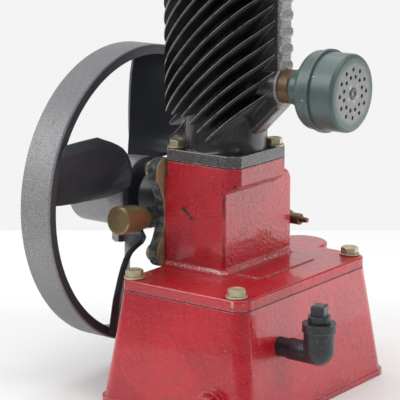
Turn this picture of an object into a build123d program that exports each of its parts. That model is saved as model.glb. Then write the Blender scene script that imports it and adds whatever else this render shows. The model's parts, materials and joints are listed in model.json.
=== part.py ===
from build123d import *
import math
import os

# Belt-driven single-cylinder air compressor pump, in millimetres.
# Origin on the ground under the cylinder's axis. X runs along the crank, with the fan flywheel
# at -X and the intake filter at +X. Z is up.

# Shared clearances
cut_overrun = 5.0
socket_clearance = 0.05
shaft_clearance = 0.05

# Oil sump base
base_bottom_length = 138.0
base_bottom_width = 186.0
base_bottom_centre_x = 18.0
base_height = 85.6
base_bottom_corner = 13.0
base_lip_height = 4.0
base_lip_out = 1.2
foot_hole_spacing_x = 100.0
foot_hole_spacing_y = 150.0
foot_hole_radius = 4.0
foot_hole_depth = 14.0

# Crankcase flange that closes the sump
base_gasket_thickness = 0.8
plate_length = 108.0
plate_width = 165.0
plate_centre_x = 20.7
plate_thickness = 7.8
plate_front_corner = 10.0
plate_back_corner = 3.0
plate_edge_round = 1.6
lobe_radius = 22.3
lobe_centre_x = 8.7
lobe_overhang = 3.3
step_height = 0.8
step_front_x = 48.7
step_near_y = -24.0
step_far_y = 59.0
step_near_corner = 3.0
step_far_corner = 16.0

# Crankcase column
column_height = 80.2
chamber_front_x = 22.5
chamber_far_y = 54.5
chamber_top_drop = 12.4
chamber_shoulder_round = 10.0
corbel_height = 7.0
block_front_x = 33.0
block_half_width = 33.0
block_front_cut_x = 9.5
block_front_cut_y = 7.0
block_bolt_cut = 4.0
column_corner = 3.0
column_root_round = 6.0

# Crank and bearing housing
crank_rise = 43.5
shaft_radius = 12.7
bearing_gasket_thickness = 1.0
bearing_flange_thickness = 8.0
bearing_lug_radius = 9.5
bearing_lug_half_span = 31.0
bearing_lug_rise = 28.0
bearing_lug_drop = 36.0
bearing_scallop_radius = 42.0
bearing_scallop_depth = 9.0
barrel_radius = 22.0
barrel_length = 26.6
barrel_edge = 2.0
shaft_inner_gap = 2.0

# Fan flywheel
flywheel_radius = 115.4
rim_near_x = -74.0
rim_width = 29.0
rim_thickness = 7.3
rim_edge = 1.2
hub_radius = 28.3
hub_length = 61.0
hub_edge = 2.5
blade_count = 4
blade_near_x = -63.0
blade_far_x = -95.0
blade_middle_angle = 159.0
blade_thickness = 4.6
blade_span_shares = (0.2, 0.29, 0.34, 0.38, 0.42, 0.47, 0.53, 0.6, 0.67, 0.75, 1.0)
blade_far_shares = (0.34, 0.34, 0.34, 0.34, 0.34, 0.34, 0.34, 0.335, 0.33, 0.32, 0.27)
blade_near_shares = (-0.17, -0.15, -0.26, -0.38, -0.44, -0.445, -0.415, -0.375, -0.335, -0.3, -0.22)
blade_outer_free_radius = 84.0
blade_inner_free_radius = 36.0
blade_inner_radius = 29.0
blade_tip_drop = 8.5
blade_tip_round = 14.0
shaft_stub = 6.0

# Grease cup on the bearing housing
cup_x = -47.4
cup_drop = 11.0
cup_lean = 7.0
cup_socket_depth = 6.0
cup_boss_radius = 8.0
cup_boss_length = 17.5
cup_stem_radius = 4.2
cup_stem_length = 22.0
cup_shoulder_length = 4.0
cup_body_radius = 8.4
cup_body_length = 8.0
cup_cap_radius = 10.6
cup_cap_length = 21.0
cup_cap_edge = 1.2

# Cylinder
cylinder_gasket_thickness = 0.8
cylinder_flange_thickness = 8.4
cylinder_barrel_radius = 31.0
cylinder_wall_height = 116.4
cylinder_top_flange_thickness = 8.0
fin_radius = 45.4
fin_tilt = 45.4
fin_rise_step = 12.13
fin_first_drop = 1.8
fin_thickness = 1.7
fin_count = 14
fin_swell_x = 30.0
fin_swell_half_width = 34.0
fin_notch_height = 28.0
fin_notch_near_y = 12.0
fin_notch_x = -4.0
fin_notch_foot_x = 27.5
flange_bolt_x = 27.0
flange_bolt_y = 24.0
bolt_pocket_radius = 9.5
bolt_pocket_height = 22.0

# Intake pad on the cylinder
pad_face_x = 53.5
pad_half_width = 9.0
pad_top_drop = 3.0
pad_lip_drop = 14.9
pad_foot_x = 31.6
pad_foot_drop = 21.6
pad_corner = 4.0
pad_boss_radius = 14.0

# Cylinder head
head_gasket_thickness = 1.0
head_plate_thickness = 9.0
head_radius = 45.4
head_fin_count = 7
head_fin_pitch = 11.5
head_fin_thickness = 3.0
head_fin_height = 24.0
head_crown_radius = 30.0
head_crown_height = 14.0
port_boss_radius = 15.0
port_radius = 9.1
port_depth = 15.0

# Intake filter
filter_rise = 50.4
bushing_radius = 12.4
bushing_length = 9.5
bushing_edge = 1.0
collar_radius = 13.4
collar_length = 14.0
collar_edge = 2.0
filter_back_radius = 28.4
filter_back_length = 14.0
filter_back_round = 5.0
filter_wall = 1.4
bead_radius = 29.9
bead_width = 2.6
filter_front_radius = 28.0
filter_front_length = 19.5
filter_front_round = 3.0
filter_hole_radius = 1.5
filter_ring_count = 12
filter_outer_ring_radius = 17.2
filter_inner_ring_radius = 12.0
element_clearance = 1.5

# Oil filler on the sump's front face
filler_y = -42.0
filler_drop = 32.1
filler_axis_x = 112.2
filler_socket_depth = 8.0
nipple_radius = 7.0
elbow_inlet_reach = 24.5
elbow_inlet_radius = 7.8
elbow_outlet_reach = 23.5
elbow_outlet_radius = 11.0
elbow_bend_rise = 3.2
elbow_band_radius = 12.2
elbow_band_length = 6.0
plug_collar_radius = 8.0
plug_collar_length = 5.2
plug_square = 10.0
plug_square_turn = 15.0
plug_square_length = 8.0
plug_square_edge = 1.0

# Drain plug on the sump's left face
drain_x = 55.0
drain_z = 19.0
drain_boss_radius = 10.0
drain_boss_length = 5.0
drain_plug_across_flats = 14.0
drain_plug_length = 6.0

# Oil cock on the crankcase's far side
cock_x = 12.0
cock_rise = 25.3
cock_boss_radius = 7.0
cock_boss_length = 2.0
cock_body_across_flats = 10.0
cock_body_length = 10.0
cock_spout_radius = 4.4
cock_spout_length = 9.0
cock_tip_radius = 2.4
cock_tip_end_radius = 1.9
cock_tip_length = 6.5
cock_spout_seat = 5.0

# Heights and faces that several pieces share
plate_bottom = base_height + base_gasket_thickness
plate_top = plate_bottom + plate_thickness
crank_height = plate_top + crank_rise
cock_z = plate_top + cock_rise
filler_z = base_height - filler_drop
crankcase_top = plate_top + column_height
back_face_x = plate_centre_x - plate_length / 2
chamber_top = crankcase_top - chamber_top_drop
flange_bottom = crankcase_top + cylinder_gasket_thickness
flange_top = flange_bottom + cylinder_flange_thickness
cylinder_wall_top = flange_top + cylinder_wall_height
cylinder_top = cylinder_wall_top + cylinder_top_flange_thickness
filter_height = flange_top + filter_rise
head_bottom = cylinder_top + head_gasket_thickness
bearing_face_x = back_face_x - bearing_gasket_thickness
bearing_outer_x = bearing_face_x - bearing_flange_thickness
barrel_end_x = bearing_outer_x - barrel_length
rim_far_x = rim_near_x - rim_width
hub_far_x = rim_near_x - hub_length
cup_z = crank_height - cup_drop


def plane_facing_x(x, y=0, z=0):
    return Plane(origin=(x, y, z), x_dir=(0, 1, 0), z_dir=(1, 0, 0))


def plane_facing_minus_y(x, y, z):
    return Plane(origin=(x, y, z), x_dir=(1, 0, 0), z_dir=(0, -1, 0))


def plane_facing_y(x, y, z):
    return Plane(origin=(x, y, z), x_dir=(-1, 0, 0), z_dir=(0, 1, 0))


def rod(plane, radius, length):
    """Round bar that grows from the plane along its normal."""
    return extrude(plane * Circle(radius), length)


def face_x_of_sump(z):
    """X of the sump's sloping front face at a height."""
    low = base_bottom_centre_x + base_bottom_length / 2
    high = plate_centre_x + plate_length / 2
    return low + (high - low) * z / base_height


def face_y_of_sump(z):
    """Half width of the sump at a height."""
    return (base_bottom_width + (plate_width - base_bottom_width) * z / base_height) / 2


def plate_outline():
    outline = Rectangle(plate_length, plate_width)
    outline = fillet(outline.vertices().group_by(Axis.X)[-1], plate_front_corner)
    outline = fillet(outline.vertices().group_by(Axis.X)[0], plate_back_corner)
    return Pos(plate_centre_x, 0) * outline


def build_base_sump():
    bottom = Pos(base_bottom_centre_x, 0) * RectangleRounded(
        base_bottom_length, base_bottom_width, base_bottom_corner
    )
    body = loft([bottom, Pos(0, 0, base_height) * plate_outline()])
    lip = Pos(base_bottom_centre_x, 0) * RectangleRounded(
        base_bottom_length + 2 * base_lip_out,
        base_bottom_width + 2 * base_lip_out,
        base_bottom_corner + base_lip_out,
    )
    body += extrude(lip, base_lip_height)
    drain_face = face_y_of_sump(drain_z) + drain_boss_length
    drain_plane = plane_facing_y(drain_x, -drain_face, drain_z)
    body += rod(drain_plane, drain_boss_radius, drain_face)
    filler_socket_x = face_x_of_sump(filler_z) - filler_socket_depth
    socket_plane = plane_facing_x(filler_socket_x, filler_y, filler_z)
    body -= rod(socket_plane, nipple_radius + socket_clearance, filler_axis_x)
    for place in GridLocations(foot_hole_spacing_x, foot_hole_spacing_y, 2, 2):
        hole = Pos(base_bottom_centre_x, 0) * place * Circle(foot_hole_radius)
        body -= extrude(hole, foot_hole_depth)
    return body


def build_base_gasket():
    return extrude(Pos(0, 0, base_height) * plate_outline(), base_gasket_thickness)


def flange_outline():
    """Pad under the cylinder: two opposite corners carry bolts, the other two are cut off deeper."""
    corners = [
        (back_face_x + block_bolt_cut, -block_half_width),
        (block_front_x - block_front_cut_x, -block_half_width),
        (block_front_x, block_front_cut_y - block_half_width),
        (block_front_x, block_half_width - block_bolt_cut),
        (block_front_x - block_bolt_cut, block_half_width),
        (back_face_x + block_front_cut_x, block_half_width),
        (back_face_x, block_half_width - block_front_cut_y),
        (back_face_x, block_bolt_cut - block_half_width),
    ]
    return Polygon(*corners, align=None)


def build_chamber():
    """Crank chamber, flush with the pad above it on the near side and wider on the far side."""
    outline = make_face(
        Polyline(
            (-block_half_width, plate_bottom),
            (chamber_far_y, plate_bottom),
            (chamber_far_y, chamber_top),
            (-block_half_width, chamber_top),
            close=True,
        )
    )
    chamber = extrude(plane_facing_x(back_face_x) * outline, chamber_front_x - back_face_x)
    shoulder = chamber.edges().filter_by(Axis.X).filter_by_position(Axis.Z, chamber_top, chamber_top)
    return fillet(shoulder.sort_by(Axis.Y)[-1], chamber_shoulder_round)


def build_corbel():
    """Slope that carries the pad out over the front of the chamber."""
    low = chamber_top - corbel_height
    profile = make_face(
        Polyline(
            (back_face_x, low),
            (chamber_front_x, low),
            (block_front_x, chamber_top),
            (back_face_x, chamber_top),
            close=True,
        )
    )
    slope = extrude(Plane.XZ * profile, chamber_far_y, both=True)
    return slope & extrude(Pos(0, 0, low) * flange_outline(), corbel_height)


def plate_top_edges(case, reach, inside):
    """Edges on the plate's top face within a reach of the column, or those beyond it."""
    edges = case.edges().filter_by_position(Axis.Z, plate_top, plate_top)
    front_edges = [edge for edge in edges if edge.center().X > back_face_x + column_corner]
    chosen = []
    for edge in front_edges:
        centre = edge.center()
        near_x = centre.X < chamber_front_x + reach
        near_y = -block_half_width - reach < centre.Y < chamber_far_y + reach
        if (near_x and near_y) == inside:
            chosen.append(edge)
    return chosen


def build_crankcase():
    plate = extrude(Pos(0, 0, plate_bottom) * plate_outline(), plate_thickness)
    lobe_centre_y = plate_width / 2 + lobe_overhang
    lobe = Pos(lobe_centre_x, lobe_centre_y, plate_bottom) * Circle(lobe_radius)
    plate += extrude(lobe, plate_thickness)
    case = plate + build_chamber()
    upright = case.edges().filter_by(Axis.Z)
    case = fillet(upright.filter_by_position(Axis.X, chamber_front_x, chamber_front_x), column_corner)
    case = fillet(plate_top_edges(case, column_corner, True), column_root_round)
    case = fillet(plate_top_edges(case, 2 * column_root_round, False), plate_edge_round)
    case += build_corbel()
    case += extrude(Pos(0, 0, chamber_top) * flange_outline(), crankcase_top - chamber_top)
    step = Polygon(
        (0, step_near_y),
        (step_front_x, step_near_y),
        (step_front_x, step_far_y),
        (0, step_far_y),
        align=None,
    )
    near_corner = step.vertices().group_by(Axis.X)[-1].sort_by(Axis.Y)[0]
    step = fillet(near_corner, step_near_corner)
    far_corner = step.vertices().sort_by(Axis.Y)[-2:].sort_by(Axis.X)[-1]
    step = fillet(far_corner, step_far_corner)
    case += extrude(Pos(0, 0, plate_top) * step, step_height)
    cock_plane = plane_facing_y(cock_x, chamber_far_y - cock_boss_length, cock_z)
    case += rod(cock_plane, cock_boss_radius, 2 * cock_boss_length)
    return case


def bearing_outline():
    """Four-lug flange about the crank, hollowed between its lugs."""
    lug_places = [
        (side * bearing_lug_half_span, height)
        for side in (-1, 1)
        for height in (-bearing_lug_drop, bearing_lug_rise)
    ]
    lugs = [Pos(*place) * Circle(bearing_lug_radius) for place in lug_places]
    outline = make_hull(sum(lugs[1:], lugs[0]).edges())
    centre = (bearing_lug_rise - bearing_lug_drop) / 2
    edge_y = bearing_lug_half_span + bearing_lug_radius
    edge_z = (bearing_lug_rise + bearing_lug_drop) / 2 + bearing_lug_radius
    reach = bearing_scallop_radius - bearing_scallop_depth
    for side in (-1, 1):
        outline -= Pos(side * (edge_y + reach), centre) * Circle(bearing_scallop_radius)
        outline -= Pos(0, centre + side * (edge_z + reach)) * Circle(bearing_scallop_radius)
    return outline


def cup_plane(distance=0):
    """Plane across the grease cup's axis, which leans up away from the bearing."""
    lean = math.radians(cup_lean)
    seat = Plane(
        origin=(cup_x, cup_socket_depth - barrel_radius, cup_z),
        x_dir=(1, 0, 0),
        z_dir=(0, -math.cos(lean), math.sin(lean)),
    )
    return seat.offset(distance)


def build_bearing_gasket():
    plane = plane_facing_x(bearing_face_x, 0, crank_height)
    ring = bearing_outline() - Circle(shaft_radius + shaft_clearance)
    return extrude(plane * ring, bearing_gasket_thickness)


def build_bearing_housing():
    flange_plane = plane_facing_x(bearing_outer_x, 0, crank_height)
    housing = extrude(flange_plane * bearing_outline(), bearing_flange_thickness)
    barrel = rod(plane_facing_x(barrel_end_x, 0, crank_height), barrel_radius, barrel_length)
    barrel = chamfer(barrel.edges().group_by(Axis.X)[0], barrel_edge)
    housing += barrel
    boss_length = cup_boss_length + cup_boss_radius
    housing += rod(cup_plane(-cup_boss_radius), cup_boss_radius, boss_length)
    bore_plane = plane_facing_x(barrel_end_x - cut_overrun, 0, crank_height)
    housing -= rod(bore_plane, shaft_radius + shaft_clearance, barrel_length + barrel_radius)
    housing -= rod(cup_plane(), cup_stem_radius + socket_clearance, cup_stem_length)
    return housing


def build_crankshaft():
    start_x = hub_far_x - shaft_stub
    end_x = bearing_face_x - shaft_inner_gap
    return rod(plane_facing_x(start_x, 0, crank_height), shaft_radius, end_x - start_x)


def blade_section(span_share, far_share, near_share):
    """Slice across a blade at one distance from the crank, leaning from its far to its near edge."""
    angle = math.radians(blade_middle_angle)
    outward = (0, math.cos(angle), math.sin(angle))
    distance = flywheel_radius * span_share
    plane = Plane(
        origin=(0, distance * outward[1], crank_height + distance * outward[2]),
        x_dir=(1, 0, 0),
        z_dir=outward,
    )
    far = Vector(blade_far_x, -distance * far_share)
    near = Vector(blade_near_x, -distance * near_share)
    across = (near - far).normalized().rotate(Axis.Z, 90) * (blade_thickness / 2)
    corners = [far + across, near + across, near - across, far - across]
    return plane * Polygon(*[(corner.X, corner.Y) for corner in corners], align=None)


def blade_envelope():
    """Space swept by the blades, with the near edge rounded down to the rim and the hub."""
    inner = flywheel_radius * blade_span_shares[0]
    outer = flywheel_radius - rim_thickness / 2
    far = blade_far_x - cut_overrun
    shoulder = blade_near_x - blade_tip_drop
    outline = Polyline(
        (far, inner),
        (far, outer),
        (shoulder, outer),
        (blade_near_x, blade_outer_free_radius),
        (blade_near_x, blade_inner_free_radius),
        (rim_near_x, blade_inner_radius),
        (rim_near_x, inner),
        close=True,
    )
    profile = make_face(outline)
    tips = profile.vertices().group_by(Axis.X)[-1]
    profile = fillet(tips, blade_tip_round)
    profile = Plane(origin=(0, 0, crank_height), x_dir=(1, 0, 0), z_dir=(0, -1, 0)) * profile
    return revolve(profile, Axis((0, 0, crank_height), (1, 0, 0)))


def build_flywheel():
    rim_plane = plane_facing_x(rim_far_x, 0, crank_height)
    rim = rod(rim_plane, flywheel_radius, rim_width)
    rim = chamfer(rim.edges().filter_by(GeomType.CIRCLE), rim_edge)
    rim -= rod(rim_plane, flywheel_radius - rim_thickness, rim_width)
    hub = rod(plane_facing_x(hub_far_x, 0, crank_height), hub_radius, hub_length)
    hub = chamfer(hub.edges().filter_by(GeomType.CIRCLE), hub_edge)
    shares = zip(blade_span_shares, blade_far_shares, blade_near_shares)
    blade = loft([blade_section(*share) for share in shares], ruled=True)
    blade = blade & blade_envelope()
    wheel = rim + hub
    crank_axis = Axis((0, 0, crank_height), (1, 0, 0))
    for index in range(blade_count):
        wheel += blade.rotate(crank_axis, index * 360 / blade_count)
    bore_plane = plane_facing_x(hub_far_x - cut_overrun, 0, crank_height)
    wheel -= rod(bore_plane, shaft_radius + shaft_clearance, hub_length + 2 * cut_overrun)
    return wheel


def build_grease_cup_stem():
    return rod(cup_plane(), cup_stem_radius, cup_stem_length)


def build_grease_cup_body():
    neck = cup_plane(cup_stem_length)
    bowl = neck.offset(cup_shoulder_length)
    shoulder = loft([neck * Circle(cup_stem_radius), bowl * Circle(cup_body_radius)])
    return shoulder + rod(bowl, cup_body_radius, cup_body_length)


def build_grease_cup_cap():
    seat = cup_plane(cup_stem_length + cup_shoulder_length + cup_body_length)
    cap = rod(seat, cup_cap_radius, cup_cap_length)
    return chamfer(cap.edges().filter_by(GeomType.CIRCLE), cup_cap_edge)


def build_cylinder_gasket():
    return extrude(Pos(0, 0, crankcase_top) * flange_outline(), cylinder_gasket_thickness)


def pad_outline():
    """Intake pad seen from the side, sloping back to the barrel below."""
    pad_top = cylinder_wall_top - pad_top_drop
    pad_lip = filter_height - pad_lip_drop
    pad_foot = pad_lip - pad_foot_drop
    return Plane.XZ * make_face(
        Polyline(
            (0, pad_foot),
            (pad_foot_x, pad_foot),
            (pad_face_x, pad_lip),
            (pad_face_x, pad_top),
            (0, pad_top),
            close=True,
        )
    )


def fin_space():
    """Space that the fins fill: round, drawn out to the intake pad and cut back above the bolts."""
    space = extrude(Pos(0, 0, flange_top) * Circle(fin_radius), cylinder_wall_height)
    swell = Polygon(
        (fin_swell_x, -fin_swell_half_width),
        (pad_face_x - pad_corner, -pad_half_width),
        (pad_face_x - pad_corner, pad_half_width),
        (fin_swell_x, fin_swell_half_width),
        align=None,
    )
    swell = extrude(Pos(0, 0, flange_top) * swell, cylinder_wall_height)
    space += swell & extrude(pad_outline(), fin_radius, both=True)
    notch_top = flange_top + fin_notch_height
    notch = make_face(
        Polyline(
            (-2 * fin_radius, flange_top),
            (-2 * fin_radius, notch_top),
            (fin_notch_x, notch_top),
            (fin_notch_foot_x, flange_top),
            close=True,
        )
    )
    notch = extrude(Plane.XZ.offset(fin_notch_near_y) * notch, 2 * fin_radius)
    return space - notch - notch.rotate(Axis.Z, 180)


def build_cylinder():
    body = extrude(Pos(0, 0, flange_top) * Circle(cylinder_barrel_radius), cylinder_wall_height)
    pad = extrude(pad_outline(), pad_half_width, both=True)
    front_edges = [edge for edge in pad.edges() if edge.center().X > pad_foot_x]
    lower_edges = [edge for edge in front_edges if edge.center().Z < cylinder_wall_top - 2 * pad_top_drop]
    body += fillet(lower_edges, pad_corner)
    body += rod(filter_plane(0), pad_boss_radius, pad_face_x)
    space = fin_space()
    for index in range(fin_count):
        height = flange_top - fin_first_drop + index * fin_rise_step
        slab = Pos(0, 0, height) * Rot(0, -fin_tilt, 0) * Cylinder(2 * fin_radius, fin_thickness)
        body += slab & space
    for side in (-1, 1):
        pocket = Pos(side * flange_bolt_x, side * flange_bolt_y, flange_top)
        body -= extrude(pocket * Circle(bolt_pocket_radius), bolt_pocket_height)
    body += extrude(Pos(0, 0, flange_bottom) * flange_outline(), cylinder_flange_thickness)
    top = Pos(0, 0, cylinder_wall_top) * Circle(fin_radius)
    body += extrude(top, cylinder_top_flange_thickness)
    return body


def build_head_gasket():
    return extrude(Pos(0, 0, cylinder_top) * Circle(head_radius), head_gasket_thickness)


def build_cylinder_head():
    plate_place = Pos(0, 0, head_bottom)
    crown_place = Pos(0, 0, head_bottom + head_plate_thickness)
    head = extrude(plate_place * Circle(head_radius), head_plate_thickness)
    head += extrude(crown_place * Circle(head_crown_radius), head_crown_height)
    fin_space = extrude(crown_place * Circle(head_radius), head_fin_height)
    middle = (head_fin_count - 1) / 2
    for index in range(head_fin_count):
        offset_y = (index - middle) * head_fin_pitch
        fin = crown_place * Pos(0, offset_y) * Rectangle(2 * head_radius, head_fin_thickness)
        head += extrude(fin, head_fin_height) & fin_space
    head += extrude(crown_place * Circle(port_boss_radius), head_fin_height)
    port_top = crown_place * Pos(0, 0, head_fin_height - port_depth)
    head -= extrude(port_top * Circle(port_radius), port_depth + cut_overrun)
    return head


def filter_plane(x):
    return plane_facing_x(x, 0, filter_height)


def build_intake_bushing():
    bushing = rod(filter_plane(pad_face_x), bushing_radius, bushing_length)
    return chamfer(bushing.edges().group_by(Axis.X)[-1], bushing_edge)


def build_filter_collar():
    collar = rod(filter_plane(pad_face_x + bushing_length), collar_radius, collar_length)
    return fillet(collar.edges().group_by(Axis.X)[0], collar_edge)


def build_filter_back_shell():
    start_x = pad_face_x + bushing_length + collar_length
    end_x = start_x + filter_back_length
    shell = rod(filter_plane(start_x), filter_back_radius, filter_back_length)
    shell = fillet(shell.edges().group_by(Axis.X)[0], filter_back_round)
    shell += rod(filter_plane(end_x - bead_width), bead_radius, bead_width)
    hollow = rod(
        filter_plane(start_x + filter_wall),
        filter_back_radius - filter_wall,
        filter_back_length,
    )
    hollow = fillet(hollow.edges().group_by(Axis.X)[0], filter_back_round - filter_wall)
    return shell - hollow


def build_filter_front_shell():
    start_x = pad_face_x + bushing_length + collar_length + filter_back_length
    shell = rod(filter_plane(start_x), filter_front_radius, filter_front_length)
    shell = fillet(shell.edges().group_by(Axis.X)[-1], filter_front_round)
    hollow_length = filter_front_length - filter_wall
    hollow = rod(filter_plane(start_x), filter_front_radius - filter_wall, hollow_length)
    shell -= fillet(hollow.edges().group_by(Axis.X)[-1], filter_front_round - filter_wall)
    half_step = 180 / filter_ring_count
    outer_ring = PolarLocations(filter_outer_ring_radius, filter_ring_count)
    inner_ring = PolarLocations(filter_inner_ring_radius, filter_ring_count, half_step)
    hole_plane = filter_plane(start_x + filter_front_length / 2)
    for place in [*outer_ring, *inner_ring]:
        shell -= extrude(hole_plane * place * Circle(filter_hole_radius), filter_front_length)
    return shell


def build_filter_element():
    start_x = pad_face_x + bushing_length + collar_length + filter_wall
    end_x = pad_face_x + bushing_length + collar_length + filter_back_length + filter_front_length
    length = end_x - filter_wall - element_clearance - start_x
    inner_radius = filter_back_radius - filter_back_round
    return rod(filter_plane(start_x), inner_radius, length)


def build_oil_fill_nipple():
    start_x = face_x_of_sump(filler_z) - filler_socket_depth
    end_x = filler_axis_x - elbow_inlet_reach
    return rod(plane_facing_x(start_x, filler_y, filler_z), nipple_radius, end_x - start_x)


def build_oil_fill_elbow():
    inlet = plane_facing_x(filler_axis_x - elbow_inlet_reach, filler_y, filler_z)
    bend_z = filler_z + elbow_bend_rise
    outlet_top = filler_z + elbow_outlet_reach
    outlet = Plane(origin=(filler_axis_x, filler_y, outlet_top), z_dir=(0, 0, -1))
    elbow = rod(outlet, elbow_outlet_radius, outlet_top - bend_z)
    elbow += Pos(filler_axis_x, filler_y, bend_z) * Sphere(elbow_outlet_radius)
    elbow += rod(inlet, elbow_inlet_radius, elbow_inlet_reach)
    elbow += rod(outlet, elbow_band_radius, elbow_band_length)
    return elbow


def build_oil_fill_plug():
    place = Pos(filler_axis_x, filler_y, filler_z + elbow_outlet_reach)
    plug = extrude(place * Circle(plug_collar_radius), plug_collar_length)
    square = Pos(0, 0, plug_collar_length) * Rectangle(plug_square, plug_square, plug_square_turn)
    head = extrude(place * square, plug_square_length)
    head = chamfer(head.edges().group_by(Axis.Z)[-1], plug_square_edge)
    return plug + head


def build_drain_plug():
    seat_y = -face_y_of_sump(drain_z) - drain_boss_length
    plane = plane_facing_minus_y(drain_x, seat_y, drain_z)
    outline = RegularPolygon(drain_plug_across_flats / 2, 6, major_radius=False)
    return extrude(plane * outline, drain_plug_length)


def build_oil_cock_body():
    plane = plane_facing_y(cock_x, chamber_far_y + cock_boss_length, cock_z)
    outline = RegularPolygon(cock_body_across_flats / 2, 6, major_radius=False, rotation=30)
    return extrude(plane * outline, cock_body_length)


def build_oil_cock_spout():
    spout_y = chamber_far_y + cock_boss_length + cock_spout_seat
    start_x = cock_x + cock_body_across_flats / 2
    plane = plane_facing_x(start_x, spout_y, cock_z)
    tip_plane = plane.offset(cock_spout_length)
    tip = [
        tip_plane * Circle(cock_tip_radius),
        tip_plane.offset(cock_tip_length) * Circle(cock_tip_end_radius),
    ]
    return rod(plane, cock_spout_radius, cock_spout_length) + loft(tip)


pieces = {
    "base_sump": build_base_sump,
    "base_gasket": build_base_gasket,
    "crankcase": build_crankcase,
    "bearing_gasket": build_bearing_gasket,
    "bearing_housing": build_bearing_housing,
    "grease_cup_stem": build_grease_cup_stem,
    "grease_cup_body": build_grease_cup_body,
    "grease_cup_cap": build_grease_cup_cap,
    "crankshaft": build_crankshaft,
    "flywheel": build_flywheel,
    "cylinder_gasket": build_cylinder_gasket,
    "cylinder": build_cylinder,
    "head_gasket": build_head_gasket,
    "cylinder_head": build_cylinder_head,
    "intake_bushing": build_intake_bushing,
    "filter_collar": build_filter_collar,
    "filter_back_shell": build_filter_back_shell,
    "filter_front_shell": build_filter_front_shell,
    "filter_element": build_filter_element,
    "oil_fill_nipple": build_oil_fill_nipple,
    "oil_fill_elbow": build_oil_fill_elbow,
    "oil_fill_plug": build_oil_fill_plug,
    "drain_plug": build_drain_plug,
    "oil_cock_body": build_oil_cock_body,
    "oil_cock_spout": build_oil_cock_spout,
}

os.makedirs("parts", exist_ok=True)
for name, build in pieces.items():
    export_step(build(), f"parts/{name}.step")
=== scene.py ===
import json
import math

import bmesh
import bpy
from mathutils import Matrix, Vector

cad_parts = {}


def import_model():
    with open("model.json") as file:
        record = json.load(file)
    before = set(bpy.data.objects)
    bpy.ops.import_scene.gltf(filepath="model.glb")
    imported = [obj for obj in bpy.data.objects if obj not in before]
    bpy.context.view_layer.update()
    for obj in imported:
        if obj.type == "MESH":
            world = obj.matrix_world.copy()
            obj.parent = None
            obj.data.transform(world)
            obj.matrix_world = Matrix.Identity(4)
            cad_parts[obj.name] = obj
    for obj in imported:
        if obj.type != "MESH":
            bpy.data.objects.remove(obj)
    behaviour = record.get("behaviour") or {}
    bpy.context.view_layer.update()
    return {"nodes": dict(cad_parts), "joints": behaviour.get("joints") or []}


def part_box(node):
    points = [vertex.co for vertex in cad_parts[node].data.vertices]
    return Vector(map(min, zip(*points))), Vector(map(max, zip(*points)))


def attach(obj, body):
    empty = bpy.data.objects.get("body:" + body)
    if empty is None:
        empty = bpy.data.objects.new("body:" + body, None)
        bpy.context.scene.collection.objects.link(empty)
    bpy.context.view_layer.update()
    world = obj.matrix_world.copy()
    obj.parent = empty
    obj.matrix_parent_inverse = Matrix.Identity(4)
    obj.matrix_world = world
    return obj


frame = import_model()
nodes = frame["nodes"]

# The photograph's frame in pixels, the camera that was fitted to it, and the table's corners
PHOTO_SIDE = 400
FOCAL_PIXELS = 1762.9
AXIS_PIXEL = (226.08, 228.74)
AZIMUTH = math.radians(36.29)
ELEVATION = math.radians(13.88)
CAMERA_DISTANCE = 1.3273
CAMERA_TARGET = Vector((0, 0, 0.12035))
SENSOR_WIDTH = 36.0
TABLE_CORNERS = [(-0.45, -0.60), (0.45, -0.60), (0.45, 0.48), (-0.45, 0.48)]

# Places that the pieces share, read from the frame
MM = 0.001
CRANK = Vector(frame["joints"][0]["pos_m"])
plate_low, plate_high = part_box("base_gasket")
flange_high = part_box("cylinder_gasket")[1]
bearing_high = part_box("bearing_housing")[1]
wheel_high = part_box("flywheel")[1]
filter_low, filter_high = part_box("filter_front_shell")
filter_centre = (filter_low + filter_high) / 2
PAD_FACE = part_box("intake_bushing")[0].x

# Sizes of the castings that the fasteners sit on and the finishes follow
PLATE_THICKNESS = 7.8 * MM
FLANGE_THICKNESS = 8.4 * MM
BEARING_THICKNESS = 8.0 * MM
PLATE_TOP = plate_high.z + PLATE_THICKNESS
FLANGE_TOP = flange_high.z + FLANGE_THICKNESS
BEARING_FACE = bearing_high.x - BEARING_THICKNESS
BEARING_LUG_Y = 31.0 * MM
BEARING_LUG_RISE = 28.0 * MM
BEARING_LUG_DROP = 36.0 * MM
HUB_RADIUS = 28.3 * MM
BARREL_RADIUS = 31.0 * MM
COLUMN_CORNER = (21.6 * MM, -32.1 * MM, 0)

# The slanted fins, and the directions of the fins' top faces, where a painted highlight goes, and of the
# pad's underside, where painted light goes
FIN_STEP = 12.13 * MM
FIN_SLANT = math.radians(45.4)
FIN_FIRST_DROP = 1.8 * MM
FIN_UP = (-0.71, 0, 0.70)
PAD_UNDER = (0.70, 0, -0.71)

# Directions that count in the distance from a line along X or along Z
ACROSS_X = (0, 1, 1)
ACROSS_Z = (1, 1, 0)

# Chips in the red paint and pale drips on it: place and reach in millimetres
DARK_CHIP = (0.034, 0.020, 0.015, 1)
DARK_CHIPS = [
    (-15.0, -33, 140.2, 1.9),
    (-12.8, -33, 138.2, 1.9),
    (-10.4, -33, 136.2, 1.5),
    (-7.6, -33, 134.2, 1.8),
    (-5.4, -33, 133.6, 1.2),
    (29.0, -29, 161.6, 1.4),
    (74.0, -10, 91.0, 0.9),
    (74.0, 16, 92.0, 0.7),
]
PALE_SPOT = (0.60, 0.44, 0.30, 1)
PALE_SPOTS = [
    (66.0, -82.5, 93, 0.9),
    (66.0, -82.5, 90, 0.7),
    (66.3, -82.5, 87, 0.5),
    (77.0, -88.0, 51, 1.0),
    (66.0, -90.0, 40, 1.1),
]
CHIP_FADE_OUT = 0.7
CHIP_FADE_IN = 0.9


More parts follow.
